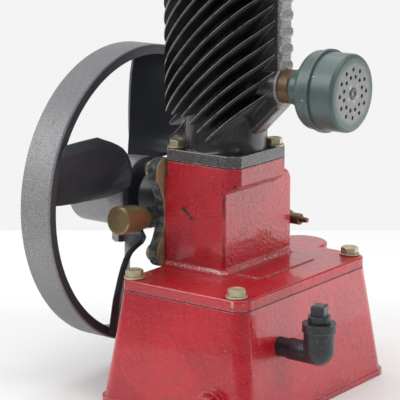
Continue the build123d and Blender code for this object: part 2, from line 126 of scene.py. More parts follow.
class Finish:
    """One procedural material, with a short call for each kind of node used here."""

    def __init__(self, name, **sockets):
        self.material = bpy.data.materials.new(name)
        self.material.use_nodes = True
        self.tree = self.material.node_tree
        self.shader = self.tree.nodes["Principled BSDF"]
        self.place = self.add("ShaderNodeTexCoord").outputs["Object"]
        for socket, value in sockets.items():
            self.shader.inputs[socket.replace("_", " ").title()].default_value = value

    def add(self, kind, **settings):
        node = self.tree.nodes.new(kind)
        for key, value in settings.items():
            setattr(node, key, value)
        return node

    def feed(self, socket, value):
        if isinstance(value, bpy.types.NodeSocket):
            self.tree.links.new(value, socket)
        else:
            socket.default_value = value

    def colour(self, value):
        self.feed(self.shader.inputs["Base Color"], value)

    def rough(self, value):
        self.feed(self.shader.inputs["Roughness"], value)

    def metal(self, value):
        self.feed(self.shader.inputs["Metallic"], value)

    def stretched(self, scale):
        node = self.add("ShaderNodeVectorMath", operation="MULTIPLY")
        self.feed(node.inputs[0], self.place)
        node.inputs[1].default_value = scale
        return node.outputs[0]

    def noise(self, scale, detail=4.0, place=None):
        node = self.add("ShaderNodeTexNoise")
        self.feed(node.inputs["Vector"], place or self.place)
        node.inputs["Scale"].default_value = scale
        node.inputs["Detail"].default_value = detail
        return node.outputs[0]

    def cells(self, scale):
        node = self.add("ShaderNodeTexVoronoi")
        self.feed(node.inputs["Vector"], self.place)
        node.inputs["Scale"].default_value = scale
        return node.outputs["Distance"]

    def span(self, value, low, high):
        """Smooth step from 0 at low to 1 at high."""
        node = self.add("ShaderNodeMapRange", interpolation_type="SMOOTHSTEP")
        self.feed(node.inputs["Value"], value)
        node.inputs["From Min"].default_value = low
        node.inputs["From Max"].default_value = high
        return node.outputs["Result"]

    def between(self, value, low, high):
        """Straight blend of a 0 to 1 value into another range."""
        node = self.add("ShaderNodeMapRange")
        self.feed(node.inputs["Value"], value)
        node.inputs["To Min"].default_value = low
        node.inputs["To Max"].default_value = high
        return node.outputs["Result"]

    def combine(self, operation, first, second=0.0):
        """Math node on two values."""
        node = self.add("ShaderNodeMath", operation=operation)
        self.feed(node.inputs[0], first)
        self.feed(node.inputs[1], second)
        return node.outputs[0]

    def times(self, first, second):
        return self.combine("MULTIPLY", first, second)

    def mix(self, share, first, second):
        node = self.add("ShaderNodeMix", data_type="RGBA")
        self.feed(node.inputs[0], share)
        self.feed(node.inputs[6], first)
        self.feed(node.inputs[7], second)
        return node.outputs[2]

    def axes(self):
        node = self.add("ShaderNodeSeparateXYZ")
        self.feed(node.inputs[0], self.place)
        return node.outputs

    def distance(self, point):
        node = self.add("ShaderNodeVectorMath", operation="DISTANCE")
        self.feed(node.inputs[0], self.place)
        node.inputs[1].default_value = point
        return node.outputs["Value"]

    def from_axis(self, centre, across):
        """Distance from a line through a point, measured along the directions that count."""
        node = self.add("ShaderNodeVectorMath", operation="MULTIPLY_ADD")
        self.feed(node.inputs[0], self.place)
        node.inputs[1].default_value = across
        node.inputs[2].default_value = [-share * value for share, value in zip(across, centre)]
        length = self.add("ShaderNodeVectorMath", operation="LENGTH")
        self.feed(length.inputs[0], node.outputs[0])
        return length.outputs["Value"]

    def rounded(self, radius):
        """Normal that turns smoothly over an edge."""
        node = self.add("ShaderNodeBevel", samples=6)
        node.inputs["Radius"].default_value = radius
        return node.outputs["Normal"]

    def edges(self, radius, low=0.03, high=0.2):
        """Mask of the edges, 1 where the surface turns within the radius."""
        node = self.add("ShaderNodeVectorMath", operation="DOT_PRODUCT")
        self.feed(node.inputs[0], self.rounded(radius))
        self.feed(node.inputs[1], self.add("ShaderNodeNewGeometry").outputs["Normal"])
        return self.span(self.combine("SUBTRACT", 1.0, node.outputs["Value"]), low, high)

    def leaning(self, radius, direction, low, high):
        """Mask of the surface, eased at its edges, that leans towards a direction."""
        node = self.add("ShaderNodeVectorMath", operation="DOT_PRODUCT")
        self.feed(node.inputs[0], self.rounded(radius))
        node.inputs[1].default_value = direction
        return self.span(node.outputs["Value"], low, high)

    def open_to_air(self, reach):
        """1 on open surface, falling towards 0 in corners."""
        node = self.add("ShaderNodeAmbientOcclusion", samples=8)
        node.inputs["Distance"].default_value = reach
        return node.outputs["AO"]

    def bumps(self, layers, radius):
        """Stack of (height, depth in metres) layers over rounded edges."""
        normal = self.rounded(radius)
        for height, depth in layers:
            node = self.add("ShaderNodeBump")
            node.inputs["Distance"].default_value = depth
            self.feed(node.inputs["Height"], height)
            self.feed(node.inputs["Normal"], normal)
            normal = node.outputs["Normal"]
        self.feed(self.shader.inputs["Normal"], normal)


# Finishes
def red_enamel():
    """Gloss red enamel brushed over a rough casting, with grime on the plate, old chips, painted shade in
    its corners and painted glints at its root on the plate and along its edges.
    """
    finish = Finish("red_enamel", coat_weight=0.6, coat_roughness=0.07)
    fine = finish.noise(640.0, 3.0)
    lumps = finish.noise(170.0, 3.0)
    patches = finish.noise(28.0, 4.0)
    height = finish.axes()["Z"]
    tone = finish.combine("ADD", finish.times(patches, 0.6), finish.times(fine, 0.4))
    red = finish.mix(finish.span(tone, 0.36, 0.64), (0.42, 0.007, 0.019, 1), (0.57, 0.017, 0.031, 1))
    # Painted shade: the red turns darker in the corners.
    corners = finish.open_to_air(9 * MM)
    red = finish.mix(finish.span(corners, 0.75, 0.2), red, (0.19, 0.005, 0.011, 1))
    on_plate = finish.times(
        finish.span(height, PLATE_TOP - 1 * MM, PLATE_TOP),
        finish.span(height, PLATE_TOP + 9 * MM, PLATE_TOP + 1 * MM),
    )
    grime = finish.times(on_plate, finish.span(finish.noise(70.0, 6.0), 0.46, 0.68))
    dirt = finish.times(finish.span(finish.noise(60.0, 6.0), 0.56, 0.75), 0.3)
    dirt = finish.combine("MAXIMUM", dirt, finish.times(grime, 0.32))
    red = finish.mix(dirt, red, (0.15, 0.055, 0.030, 1))
    worn = finish.times(finish.edges(0.9 * MM), finish.span(finish.noise(330.0, 5.0), 0.55, 0.64))
    red = finish.mix(worn, red, (0.50, 0.40, 0.38, 1))
    chipped = finish.times(finish.edges(1.6 * MM), finish.span(finish.noise(190.0, 5.0), 0.57, 0.64))
    red = finish.mix(finish.times(chipped, 0.85), red, (0.05, 0.010, 0.010, 1))
    specks = finish.span(finish.cells(210.0), 0.10, 0.05)
    specks = finish.times(specks, finish.span(finish.noise(45.0, 2.0), 0.58, 0.66))
    red = finish.mix(specks, red, (0.62, 0.50, 0.46, 1))
    # Painted glints: pale specks along the root on the plate and along the edges.
    root = finish.times(
        finish.span(height, PLATE_TOP + 1.0 * MM, PLATE_TOP + 1.8 * MM),
        finish.span(height, PLATE_TOP + 4.6 * MM, PLATE_TOP + 2.6 * MM),
    )
    glint_places = finish.combine("MAXIMUM", root, finish.times(finish.edges(2.0 * MM, 0.05, 0.2), 0.8))
    painted_glints = finish.times(glint_places, finish.span(finish.noise(1150.0, 2.0), 0.50, 0.62))
    red = finish.mix(finish.times(painted_glints, 0.7), red, (0.88, 0.74, 0.74, 1))
    ragged = finish.times(finish.combine("SUBTRACT", finish.noise(420.0, 3.0), 0.5), 5 * MM)
    corner = finish.combine("ADD", finish.from_axis(COLUMN_CORNER, ACROSS_Z), ragged)
    broken = finish.span(finish.noise(75.0, 3.0), 0.36, 0.56)
    corner = finish.times(finish.span(corner, 1.7 * MM, 0.5 * MM), broken)
    upright = finish.times(
        finish.span(height, PLATE_TOP + 6 * MM, PLATE_TOP + 10 * MM),
        finish.span(height, FLANGE_TOP - 18 * MM, FLANGE_TOP - 22 * MM),
    )
    corner = finish.times(corner, upright)
    red = finish.mix(finish.times(corner, 0.75), red, (0.12, 0.006, 0.012, 1))
    for colour, spots in ((DARK_CHIP, DARK_CHIPS), (PALE_SPOT, PALE_SPOTS)):
        for *point, reach in spots:
            away = finish.combine("ADD", finish.distance([value * MM for value in point]), ragged)
            inner = (reach - CHIP_FADE_IN) * MM
            outer = (reach + CHIP_FADE_OUT) * MM
            red = finish.mix(finish.span(away, outer, inner), red, colour)
    finish.colour(red)
    finish.rough(finish.between(patches, 0.20, 0.36))
    skin = finish.times(finish.noise(430.0, 2.0), finish.span(height, PLATE_TOP, PLATE_TOP + 4 * MM))
    finish.bumps([(lumps, 0.6 * MM), (fine, 0.42 * MM), (skin, 0.5 * MM)], 1.2 * MM)
    return finish.material


def black_enamel():
    """Gloss black paint, with painted shade in its hollows, a painted highlight on the fins' top edges, dust
    on the flange and a painted sheen on the intake pad and its underside.
    """
    finish = Finish("black_enamel", coat_weight=0.35, coat_roughness=0.14)
    fine = finish.noise(500.0, 4.0)
    patches = finish.noise(60.0, 4.0)
    along, aside, height = finish.axes()
    black = finish.mix(patches, (0.010, 0.010, 0.012, 1), (0.028, 0.027, 0.030, 1))
    # Painted shade: the black turns darker still in hollows.
    hollow_shade = finish.span(finish.open_to_air(14 * MM), 0.85, 0.35)
    black = finish.mix(finish.times(hollow_shade, 0.6), black, (0.004, 0.004, 0.005, 1))
    dust = finish.times(finish.span(finish.noise(1700.0, 3.0), 0.42, 0.75), finish.span(patches, 0.40, 0.62))
    black = finish.mix(finish.times(dust, 0.4), black, (0.18, 0.175, 0.175, 1))
    # Dust on the flange, plus a painted sheen on the intake pad and painted light on the pad's underside,
    # all in one pale grey.
    flange = finish.span(height, FLANGE_TOP + 0.3 * MM, FLANGE_TOP - 0.4 * MM)
    pad = finish.span(along, PAD_FACE - 2.4 * MM, PAD_FACE - 0.6 * MM)
    on_pad = finish.span(finish.combine("ABSOLUTE", aside), 11 * MM, 10 * MM)
    under = finish.times(finish.leaning(1.0 * MM, PAD_UNDER, 0.75, 0.92), on_pad)
    under = finish.times(under, finish.span(along, 30 * MM, 36 * MM))
    dust_and_sheen = finish.combine("MAXIMUM", finish.times(flange, 0.24), finish.times(pad, 0.95))
    dust_and_sheen = finish.combine("MAXIMUM", dust_and_sheen, finish.times(under, 0.55))
    grain = finish.span(finish.noise(900.0, 3.0), 0.36, 0.66)
    dust_and_sheen = finish.times(dust_and_sheen, finish.between(grain, 0.35, 1.45))
    black = finish.mix(dust_and_sheen, black, (0.36, 0.345, 0.335, 1))
    # Painted highlight: pale along the fins' top edges, broken up by noise; the same edge mask gives the
    # flange its pale flecks.
    pale_share = finish.span(finish.noise(240.0, 4.0), 0.25, 0.5)
    edge = finish.times(finish.edges(1.1 * MM, 0.02, 0.12), pale_share)
    facing_up = finish.between(finish.leaning(1.1 * MM, FIN_UP, 0.0, 0.25), 0.12, 1.0)
    fin_highlight = finish.times(edge, facing_up)
    black = finish.mix(finish.times(fin_highlight, 0.9), black, (0.64, 0.64, 0.67, 1))
    flecks = finish.times(finish.times(flange, edge), finish.span(finish.noise(430.0, 4.0), 0.5, 0.58))
    black = finish.mix(flecks, black, (0.74, 0.72, 0.68, 1))
    finish.colour(black)
    finish.rough(finish.between(patches, 0.24, 0.44))
    ripple = finish.times(pad, finish.combine("SINE", finish.times(height, 2 * math.pi / FIN_STEP)))
    finish.bumps([(ripple, 0.7 * MM), (patches, 0.35 * MM), (fine, 0.25 * MM)], 0.6 * MM)
    return finish.material


def worn_iron():
    """Dark japanned iron, worn to bare pitted metal round the flywheel's rim and hub; the bare rim is paler
    at its middle height than towards its top and bottom.
    """
    finish = Finish("worn_iron", coat_weight=0.1, coat_roughness=0.3)
    around = finish.from_axis(CRANK, ACROSS_X)
    fine = finish.noise(380.0, 5.0)
    patches = finish.noise(45.0, 5.0)
    clouds = finish.noise(14.0, 3.0)
    dark = finish.mix(patches, (0.024, 0.028, 0.036, 1), (0.046, 0.052, 0.064, 1))
    rim_radius = wheel_high.z - CRANK.z
    belt = finish.span(around, rim_radius - 1.6 * MM, rim_radius - 0.6 * MM)
    hub = finish.span(around, HUB_RADIUS + 0.6 * MM, HUB_RADIUS + 0.1 * MM)
    along, _, height = finish.axes()
    hub = finish.times(hub, finish.span(along, wheel_high.x - 13 * MM, wheel_high.x - 17 * MM))
    # The bare rim is paler at its middle height and darker towards its top and bottom.
    pale_share = finish.times(
        finish.span(height, CRANK.z + 112 * MM, CRANK.z + 20 * MM),
        finish.span(height, CRANK.z - 110 * MM, CRANK.z + 15 * MM),
    )
    pale_share = finish.between(pale_share, 0.40, 1.0)
    belt = finish.times(finish.times(belt, pale_share), finish.between(clouds, 0.6, 1.0))
    bare = finish.combine("MAXIMUM", belt, finish.times(hub, 0.8))
    pits = finish.noise(1150.0, 2.0)
    grey = finish.mix(finish.span(pits, 0.32, 0.68), (0.27, 0.265, 0.275, 1), (0.47, 0.46, 0.47, 1))
    edge = finish.times(finish.edges(1.0 * MM), finish.span(fine, 0.4, 0.7))
    colour = finish.mix(bare, dark, grey)
    colour = finish.mix(finish.times(edge, 0.5), colour, (0.26, 0.25, 0.24, 1))
    flange = finish.span(along, BEARING_FACE - 2 * MM, BEARING_FACE - 1 * MM)
    worn = finish.times(flange, finish.span(finish.noise(210.0, 5.0), 0.44, 0.60))
    colour = finish.mix(finish.times(worn, 0.55), colour, (0.24, 0.225, 0.20, 1))
    rust = finish.times(finish.span(finish.noise(120.0, 5.0), 0.60, 0.76), 0.3)
    finish.colour(finish.mix(rust, colour, (0.085, 0.055, 0.035, 1)))
    finish.metal(finish.times(bare, 0.4))
    finish.rough(finish.between(patches, 0.34, 0.52))
    finish.bumps([(patches, 0.4 * MM), (finish.times(pits, bare), 0.45 * MM), (fine, 0.05 * MM)], 1.2 * MM)
    return finish.material


def brass():
    """Old brass, browned in the corners and bright where it is handled."""
    finish = Finish("brass", metallic=0.65)
    patches = finish.noise(130.0, 5.0)
    turned = finish.noise(260.0, 3.0, finish.stretched((1.0, 9.0, 1.0)))
    base = finish.mix(patches, (0.24, 0.165, 0.080, 1), (0.42, 0.31, 0.17, 1))
    base = finish.mix(finish.span(finish.open_to_air(4 * MM), 0.8, 0.2), base, (0.08, 0.045, 0.02, 1))
    edge = finish.times(finish.edges(0.6 * MM), 0.6)
    finish.colour(finish.mix(edge, base, (0.58, 0.46, 0.25, 1)))
    finish.rough(finish.between(patches, 0.28, 0.5))
    finish.bumps([(patches, 0.12 * MM), (turned, 0.05 * MM)], 0.5 * MM)
    return finish.material


def zinc():
    """Yellow zinc plating on bolts, brown in the corners."""
    finish = Finish("yellow_zinc", metallic=0.55)
    patches = finish.noise(210.0, 5.0)
    base = finish.mix(patches, (0.40, 0.345, 0.20, 1), (0.68, 0.62, 0.43, 1))
    base = finish.mix(finish.span(finish.open_to_air(3 * MM), 0.85, 0.25), base, (0.20, 0.14, 0.07, 1))
    edge = finish.times(finish.edges(0.5 * MM), 0.6)
    finish.colour(finish.mix(edge, base, (0.84, 0.81, 0.68, 1)))
    finish.rough(finish.between(patches, 0.28, 0.5))
    finish.bumps([(patches, 0.08 * MM)], 0.4 * MM)
    return finish.material


def steel():
    """Turned steel, dull and lightly spotted."""
    finish = Finish("steel", metallic=0.9)
    spots = finish.noise(300.0, 5.0)
    turned = finish.noise(500.0, 2.0, finish.stretched((8.0, 1.0, 1.0)))
    base = finish.mix(turned, (0.22, 0.21, 0.20, 1), (0.42, 0.41, 0.39, 1))
    finish.colour(finish.mix(finish.span(spots, 0.58, 0.72), base, (0.12, 0.08, 0.05, 1)))
    finish.rough(finish.between(spots, 0.32, 0.5))
    finish.bumps([(turned, 0.04 * MM)], 0.5 * MM)
    return finish.material


def gasket():
    """Tan gasket sheet, darkened by oil."""
    finish = Finish("gasket_sheet")
    fibres = finish.noise(700.0, 5.0)
    oil = finish.noise(70.0, 4.0)
    base = finish.mix(fibres, (0.28, 0.19, 0.10, 1), (0.46, 0.34, 0.20, 1))
    finish.colour(finish.mix(finish.times(finish.span(oil, 0.5, 0.7), 0.8), base, (0.09, 0.06, 0.035, 1)))
    finish.rough(finish.between(fibres, 0.6, 0.85))
    finish.bumps([(fibres, 0.15 * MM)], 0.3 * MM)
    return finish.material


def oily_gasket():
    """Thin black line of oil-soaked gasket between two castings."""
    finish = Finish("oily_gasket")
    fibres = finish.noise(600.0, 5.0)
    finish.colour(finish.mix(fibres, (0.010, 0.006, 0.006, 1), (0.05, 0.025, 0.022, 1)))
    finish.rough(finish.between(fibres, 0.45, 0.7))
    finish.bumps([(fibres, 0.12 * MM)], 0.3 * MM)
    return finish.material


def filter_paint():
    """Grey-green hammered paint; the front plate is worn to pale grey with rust at its middle."""
    finish = Finish("filter_green", coat_weight=0.25, coat_roughness=0.25)
    around = finish.from_axis(filter_centre, ACROSS_X)
    fine = finish.noise(520.0, 4.0)
    patches = finish.noise(90.0, 5.0)
    green = finish.mix(patches, (0.060, 0.104, 0.098, 1), (0.098, 0.146, 0.138, 1))
    edge = finish.times(finish.edges(0.8 * MM), finish.span(fine, 0.42, 0.68))
    green = finish.mix(finish.times(edge, 0.6), green, (0.32, 0.34, 0.32, 1))
    face = finish.span(finish.axes()["X"], filter_high.x - 1.2 * MM, filter_high.x - 0.5 * MM)
    pale = finish.mix(patches, (0.17, 0.18, 0.18, 1), (0.30, 0.305, 0.305, 1))
    rust_near = finish.span(around, 9 * MM, 3 * MM)
    rust = finish.times(rust_near, finish.span(finish.noise(260.0, 5.0), 0.35, 0.6))
    pale = finish.mix(rust, pale, (0.36, 0.27, 0.14, 1))
    scale = finish.times(rust_near, finish.span(finish.noise(420.0, 3.0), 0.54, 0.62))
    pale = finish.mix(scale, pale, (0.72, 0.70, 0.58, 1))
    reach = finish.combine("ADD", around, finish.times(patches, 6 * MM))
    wear = finish.times(face, finish.span(reach, 27 * MM, 22 * MM))
    chips = finish.times(finish.edges(1.2 * MM), finish.span(finish.noise(150.0, 3.0), 0.60, 0.64))
    spots = finish.times(finish.span(finish.cells(190.0), 0.10, 0.06), finish.span(patches, 0.54, 0.60))
    colour = finish.mix(wear, green, pale)
    colour = finish.mix(finish.combine("MAXIMUM", chips, spots), colour, (0.74, 0.75, 0.72, 1))
    finish.colour(colour)
    finish.metal(finish.times(wear, 0.15))
    finish.rough(finish.between(patches, 0.32, 0.5))
    finish.bumps([(fine, 0.12 * MM)], 0.8 * MM)
    return finish.material


def bronze():
    """Dull brown bronze bushing with old thread paste in its corners."""
    finish = Finish("bronze_brown", metallic=0.7)
    patches = finish.noise(170.0, 5.0)
    base = finish.mix(patches, (0.11, 0.066, 0.036, 1), (0.27, 0.18, 0.11, 1))
    finish.colour(finish.mix(finish.times(finish.edges(0.7 * MM), 0.5), base, (0.40, 0.30, 0.20, 1)))
    finish.rough(finish.between(patches, 0.38, 0.6))
    finish.bumps([(patches, 0.15 * MM)], 0.6 * MM)
    return finish.material


def felt():
    """Dark felt seen through the filter's holes."""
    finish = Finish("felt", sheen_weight=0.2)
    fibres = finish.noise(1400.0, 6.0)
    finish.colour(finish.mix(fibres, (0.006, 0.006, 0.006, 1), (0.03, 0.029, 0.027, 1)))
    finish.rough(finish.between(fibres, 0.85, 1.0))
    finish.bumps([(fibres, 0.3 * MM)], 0.3 * MM)
    return finish.material


def black_fitting():
    """Satin black malleable iron with a rough cast skin."""
    finish = Finish("black_fitting", coat_weight=0.2, coat_roughness=0.2)
    skin = finish.noise(450.0, 4.0)
    patches = finish.noise(90.0, 4.0)
    base = finish.mix(patches, (0.008, 0.010, 0.013, 1), (0.022, 0.025, 0.031, 1))
    # Pale edges: partly wear, partly a painted highlight.
    edge = finish.times(finish.edges(1.0 * MM), finish.span(skin, 0.38, 0.60))
    base = finish.mix(finish.times(edge, 0.75), base, (0.34, 0.34, 0.35, 1))
    scuffs = finish.times(finish.span(finish.noise(240.0, 6.0), 0.54, 0.70), 0.18)
    finish.colour(finish.mix(scuffs, base, (0.22, 0.22, 0.23, 1)))
    finish.rough(finish.between(patches, 0.30, 0.46))
    finish.bumps([(patches, 0.3 * MM), (skin, 0.3 * MM)], 0.9 * MM)
    return finish.material


RED = red_enamel()
BLACK = black_enamel()
IRON = worn_iron()
BRASS = brass()
ZINC = zinc()
STEEL = steel()
GASKET = gasket()
OILY = oily_gasket()
FILTER = filter_paint()
BRONZE = bronze()
FELT = felt()
FITTING = black_fitting()

node_finishes = {
    RED: ["base_sump", "crankcase", "drain_plug"],
    BLACK: ["cylinder", "cylinder_head"],
    IRON: ["flywheel", "bearing_housing"],
    BRASS: ["grease_cup_stem", "grease_cup_body", "grease_cup_cap"],
    STEEL: ["crankshaft"],
    GASKET: ["bearing_gasket", "head_gasket"],
    OILY: ["base_gasket", "cylinder_gasket"],
    FILTER: ["filter_collar", "filter_back_shell", "filter_front_shell"],
    BRONZE: ["intake_bushing", "oil_cock_body", "oil_cock_spout"],
    FELT: ["filter_element"],
    FITTING: ["oil_fill_nipple", "oil_fill_elbow", "oil_fill_plug"],
}
for material, names in node_finishes.items():
    for name in names:
        nodes[name].data.materials.clear()
        nodes[name].data.materials.append(material)


# Points in a ring, and the angle above which an edge stays sharp
RING_POINTS = 48
SMOOTH_ANGLE = math.radians(32)

# Half turn that undoes the one a piece gets when its axis points straight up
UPRIGHT_TURN = math.pi

# Washer's radius and head's height are shares of the width across flats
WASHER_SHARE = 0.66
HEAD_SHARE = 0.42
WASHER_THICKNESS = 1.5 * MM
WASHER_EDGE = 0.3 * MM

# Crown's radius is a share of half the width across flats
CROWN_SHARE = 0.94
CROWN_SLOPE = math.tan(math.radians(30))

# Dish's radii are shares of the crown's, and its depth is a share of the head's height
DISH_OUTER = 0.72
DISH_INNER = 0.6
DISH_DEPTH = 0.12


def add_rings(mesh, rings):
    """Closed solid through a stack of rings of points, capped at both ends."""
    rows = [[mesh.verts.new(point) for point in ring] for ring in rings]
    count = len(rows[0])
    for low, high in zip(rows, rows[1:]):
        for index in range(count):
            after = (index + 1) % count
            mesh.faces.new((low[index], low[after], high[after], high[index]))
    mesh.faces.new(rows[0][::-1])
    mesh.faces.new(rows[-1])


def angles():
    return [2 * math.pi * index / RING_POINTS for index in range(RING_POINTS)]


def circle(radius, height):
    return [(radius * math.cos(a), radius * math.sin(a), height) for a in angles()]


def add_disc(mesh, radius, low, high, edge):
    """Washer-like disc with its edges eased."""
    add_rings(
        mesh,
        [
            circle(radius - edge, low),
            circle(radius, low + edge),
            circle(radius, high - edge),
            circle(radius - edge, high),
        ],
    )


def flat_reach(angle, across, sides):
    """Distance from a prism's axis to its side at an angle."""
    step = 2 * math.pi / sides
    return across / 2 / math.cos((angle + step / 2) % step - step / 2)


def add_head(mesh, across, low, high, sides):
    """Wrench head with its corners turned down to a circle on top."""
    crown = across / 2 * CROWN_SHARE
    reaches = [(a, flat_reach(a, across, sides)) for a in angles()]
    bottom = [(r * math.cos(a), r * math.sin(a), low) for a, r in reaches]
    shoulder = [(r * math.cos(a), r * math.sin(a), high - (r - crown) * CROWN_SLOPE) for a, r in reaches]
    dish = high - DISH_DEPTH * (high - low)
    top = [circle(crown, high), circle(crown * DISH_OUTER, high), circle(crown * DISH_INNER, dish)]
    add_rings(mesh, [bottom, shoulder, *top])


def place_piece(name, mesh, material, body, point, axis, turn=0.0):
    """Makes an object of a mesh whose own Z points along the axis from the point."""
    data = bpy.data.meshes.new(name)
    bmesh.ops.recalc_face_normals(mesh, faces=mesh.faces)
    for face in mesh.faces:
        face.smooth = True
    mesh.to_mesh(data)
    mesh.free()
    data.set_sharp_from_angle(angle=SMOOTH_ANGLE)
    data.materials.append(material)
    piece = bpy.data.objects.new(name, data)
    bpy.context.scene.collection.objects.link(piece)
    direction = Vector(axis).to_track_quat("Z", "Y").to_matrix().to_4x4()
    piece.matrix_world = Matrix.Translation(point) @ direction @ Matrix.Rotation(turn, 4, "Z")
    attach(piece, body)


def hex_bolt(name, point, axis, across, turn):
    """Hex bolt head on a flat washer."""
    mesh = bmesh.new()
    add_disc(mesh, across * WASHER_SHARE, 0, WASHER_THICKNESS, WASHER_EDGE)
    add_head(mesh, across, WASHER_THICKNESS, WASHER_THICKNESS + HEAD_SHARE * across, 6)
    place_piece(name, mesh, ZINC, "pump", point, axis, math.radians(turn))


# Bolts that hold the crankcase on the sump
PLATE_BOLT_ACROSS = 11.8 * MM
BACK_INSET = 5.2 * MM
FRONT_INSET = 12.0 * MM
SIDE_INSET = 7.5 * MM
FRONT_SHIFT = 2.0 * MM
BACK_SHIFT = 4.0 * MM
plate_bolts = [
    ("plate_bolt_left", plate_low.x + BACK_INSET, plate_low.y + SIDE_INSET, 20),
    ("plate_bolt_front", plate_high.x - FRONT_INSET, plate_low.y + SIDE_INSET + FRONT_SHIFT, 48),
    ("plate_bolt_right", plate_high.x - FRONT_INSET, plate_high.y - SIDE_INSET, 10),
    ("plate_bolt_back", plate_low.x + BACK_INSET + BACK_SHIFT, plate_high.y - SIDE_INSET, 33),
]
for name, x, y, turn in plate_bolts:
    hex_bolt(name, (x, y, PLATE_TOP), (0, 0, 1), PLATE_BOLT_ACROSS, turn)

# Bolts through two corners of the cylinder's flange
FLANGE_BOLT_ACROSS = 11.2 * MM
FLANGE_BOLT_X = 27.0 * MM
FLANGE_BOLT_Y = 24.0 * MM
for name, side, turn in (("flange_bolt_left", -1, 40), ("flange_bolt_right", 1, 15)):
    point = (side * FLANGE_BOLT_X, side * FLANGE_BOLT_Y, FLANGE_TOP)
    hex_bolt(name, point, (0, 0, 1), FLANGE_BOLT_ACROSS, turn)

# Bolts in the bearing housing's four lugs
BEARING_BOLT_ACROSS = 11.0 * MM
bearing_bolts = [
    ("bearing_bolt_near_top", -BEARING_LUG_Y, BEARING_LUG_RISE, 12),
    ("bearing_bolt_near_low", -BEARING_LUG_Y, -BEARING_LUG_DROP, 35),
    ("bearing_bolt_far_top", BEARING_LUG_Y, BEARING_LUG_RISE, 51),
    ("bearing_bolt_far_low", BEARING_LUG_Y, -BEARING_LUG_DROP, 5),
]
for name, y, rise, turn in bearing_bolts:
    hex_bolt(name, (BEARING_FACE, y, CRANK.z + rise), (-1, 0, 0), BEARING_BOLT_ACROSS, turn)

# Set screw under the flywheel's hub
SCREW_RADIUS = 4.5 * MM
SCREW_SHANK = 3.0 * MM
SCREW_SUNK = 2.0 * MM
SCREW_ACROSS = 9.0 * MM
SCREW_HEAD = 11.0 * MM
SCREW_BACK = 41.0 * MM
SCREW_TURN = 0.3


def hub_set_screw():
    """Square-head set screw that locks the flywheel on its shaft."""
    mesh = bmesh.new()
    add_rings(mesh, [circle(SCREW_RADIUS, -SCREW_SUNK), circle(SCREW_RADIUS, SCREW_SHANK)])
    add_head(mesh, SCREW_ACROSS, SCREW_SHANK, SCREW_SHANK + SCREW_HEAD, 4)
    point = (wheel_high.x - SCREW_BACK, CRANK.y, CRANK.z - HUB_RADIUS)
    place_piece("hub_set_screw", mesh, STEEL, "flywheel", point, (0, 0, -1), SCREW_TURN)


hub_set_screw()

# Rivet profile from its rim to its hollow: radius and height in millimetres
RIVET_PROFILE = [(4.4, -0.8), (4.4, 0.3), (3.8, 0.9), (2.6, 1.0), (1.9, 0.6), (1.6, -0.4)]


def filter_rivet():
    """Hollow rivet in the middle of the filter's front plate."""
    mesh = bmesh.new()
    add_rings(mesh, [circle(radius * MM, height * MM) for radius, height in RIVET_PROFILE])
    point = (filter_high.x, filter_centre.y, filter_centre.z)
    place_piece("filter_rivet", mesh, FILTER, "pump", point, (1, 0, 0))


filter_rivet()

# Ridges on the intake pad, and the shares of their half width at which they are drawn
RIDGE_COUNT = 6
RIDGE_OUT = 1.0 * MM
RIDGE_HALF_HEIGHT = 4.2 * MM
RIDGE_HALF_WIDTH = 8.6 * MM
RIDGE_END = 0.15
RIDGE_SHARES = (-1.0, -0.92, -0.75, -0.4, 0.0, 0.4, 0.75, 0.92, 1.0)


def pad_ridges():
    """Ends of the cooling fins, cast as low ridges across the intake pad."""
    mesh = bmesh.new()
    rise = FLANGE_TOP - FIN_FIRST_DROP + PAD_FACE * math.tan(FIN_SLANT)
    for index in range(RIDGE_COUNT):
        height = rise + index * FIN_STEP
        rings = []
        for share in RIDGE_SHARES:
            size = RIDGE_END + (1 - RIDGE_END) * math.sqrt(1 - share**4)
            ring = []
            for angle in angles():
                out = RIDGE_OUT * size * math.cos(angle)
                up = RIDGE_HALF_HEIGHT * size * math.sin(angle)
                ring.append((PAD_FACE + out, share * RIDGE_HALF_WIDTH, height + up))
            rings.append(ring)
        add_rings(mesh, rings)
    place_piece("pad_ridges", mesh, BLACK, "pump", (0, 0, 0), (0, 0, 1), UPRIGHT_TURN)


pad_ridges()

# Fillet at the barrel's root, left open round the two flange bolts
ROOT_REACH = 9.0 * MM
ROOT_RISE = 12.0 * MM
ROOT_EDGE = 1.5 * MM
ROOT_SUNK = 0.6 * MM
ROOT_STEPS = 72
ROOT_CURVE = 9
NEARLY_ZERO = 0.001
BOLT_ANGLE = math.atan2(FLANGE_BOLT_Y, FLANGE_BOLT_X)
BOLT_GAP = math.radians(25)
BOLT_EASE = math.radians(14)


def root_section(angle, share):
    """Hollow-cornered section of the fillet at an angle, smaller near a bolt."""
    along, beside = math.cos(angle), math.sin(angle)
    room = min(
        flange_high.x / max(abs(along), NEARLY_ZERO),
        flange_high.y / max(abs(beside), NEARLY_ZERO),
    )
    reach = max(ROOT_SUNK, min(ROOT_REACH, room - BARREL_RADIUS - ROOT_EDGE) * share)
    rise = max(ROOT_SUNK, ROOT_RISE * share)
    inside = BARREL_RADIUS - 2 * ROOT_SUNK
    profile = [(inside, -ROOT_SUNK), (BARREL_RADIUS + reach, -ROOT_SUNK)]
    for index in range(ROOT_CURVE):
        bend = math.pi / 2 * index / (ROOT_CURVE - 1)
        out = BARREL_RADIUS - ROOT_SUNK / 2 + reach * (1 - math.sin(bend))
        profile.append((out, rise * (1 - math.cos(bend))))
    profile.append((inside, rise))
    return [(out * along, out * beside, FLANGE_TOP + up) for out, up in profile]


